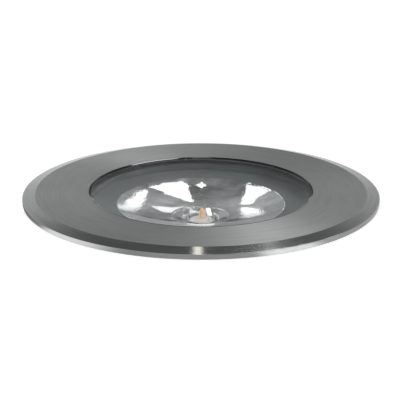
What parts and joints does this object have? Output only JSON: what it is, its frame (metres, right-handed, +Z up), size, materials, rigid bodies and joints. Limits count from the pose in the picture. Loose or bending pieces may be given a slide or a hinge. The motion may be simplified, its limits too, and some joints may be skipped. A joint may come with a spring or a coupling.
{
  "type": "in ground well light",
  "caption": "Round recessed ground light: a bevelled brushed steel ring round a flush clear glass over a hammered bowl reflector and capsule lamp, in a sealed housing and a ground sleeve.",
  "frame": {"origin": "middle of the underside of the sleeve base, where the light stands in its hole", "axes": "+Z up, out of the ground, along the axis of the light; +X towards the plugged conduit entry"},
  "size_m": [0.26, 0.26, 0.285],
  "materials": {
    "aluminium_can": "drawn can",
    "black_rubber": "matt",
    "bright_aluminium": "hammered and bright anodised",
    "brushed_ring": "circular brushed, polished lip",
    "burner_ceramic": "translucent, stained warm",
    "cast_grey": "fine textured powder coat on a casting",
    "clear_glass": "clear toughened",
    "coil_wrap": "impregnated winding wrap",
    "core_steel": "varnished sheet stack",
    "grey_paint": "satin powder coat",
    "ground_plastic": "moulded, fine grain",
    "lamp_glass": "clear quartz",
    "nickel_brass": "nickel plated",
    "nickel_wire": "drawn",
    "silicone": "matt grey",
    "spring_steel": "rolled sheet",
    "stainless_fasteners": "bright machined",
    "white_ceramic": "unglazed",
    "white_plastic": "moulded",
    "wire_cover": "silicone insulation",
    "zinc_sheet": "zinc plated"
  },
  "bodies": {
    "sleeve": {"ground_sleeve": "ground_plastic", "entry_plug": "ground_plastic", "sleeve_base": "ground_plastic", "base_screws": "stainless_fasteners"},
    "luminaire": {"lamp_housing": "cast_grey", "housing_seal": "black_rubber", "hold_screws": "stainless_fasteners", "optic_plate": "grey_paint", "plate_screws": "stainless_fasteners", "reflector": "bright_aluminium", "lamp_envelope": "lamp_glass", "lamp_burner": "burner_ceramic", "lamp_leads": "nickel_wire", "lamp_base": "white_ceramic", "lamp_pins": "nickel_wire", "lampholder": "white_ceramic", "holder_screws": "stainless_fasteners", "holder_bridge": "zinc_sheet", "bridge_screws": "stainless_fasteners", "gear_tray": "zinc_sheet", "tray_screws": "stainless_fasteners", "ballast_core": "core_steel", "ballast_coils": "coil_wrap", "capacitor": "aluminium_can", "ignitor": "white_plastic", "terminal_block": "white_plastic", "terminal_screws": "nickel_brass", "lamp_wires": "wire_cover", "gland_bodies": "nickel_brass", "gland_locknuts": "nickel_brass", "gland_seals": "black_rubber", "gland_nuts": "nickel_brass"},
    "cover": {"cover_glass": "clear_glass", "glass_seal": "silicone", "glass_frame": "grey_paint", "frame_washers": "black_rubber", "frame_screws": "stainless_fasteners"},
    "trim": {"trim_ring": "brushed_ring", "trim_seal": "black_rubber", "trim_clips": "spring_steel"}
  },
  "joints": [
    {"name": "luminaire_lift", "type": "slide", "parent": "sleeve", "child": "luminaire", "axis": [0, 0, 1], "range_m": [0, 0.24]},
    {"name": "cover_lift", "type": "slide", "parent": "luminaire", "child": "cover", "axis": [0, 0, 1], "range_m": [0, 0.1]},
    {"name": "trim_lift", "type": "slide", "parent": "cover", "child": "trim", "axis": [0, 0, 1], "range_m": [0, 0.05]}
  ]
}
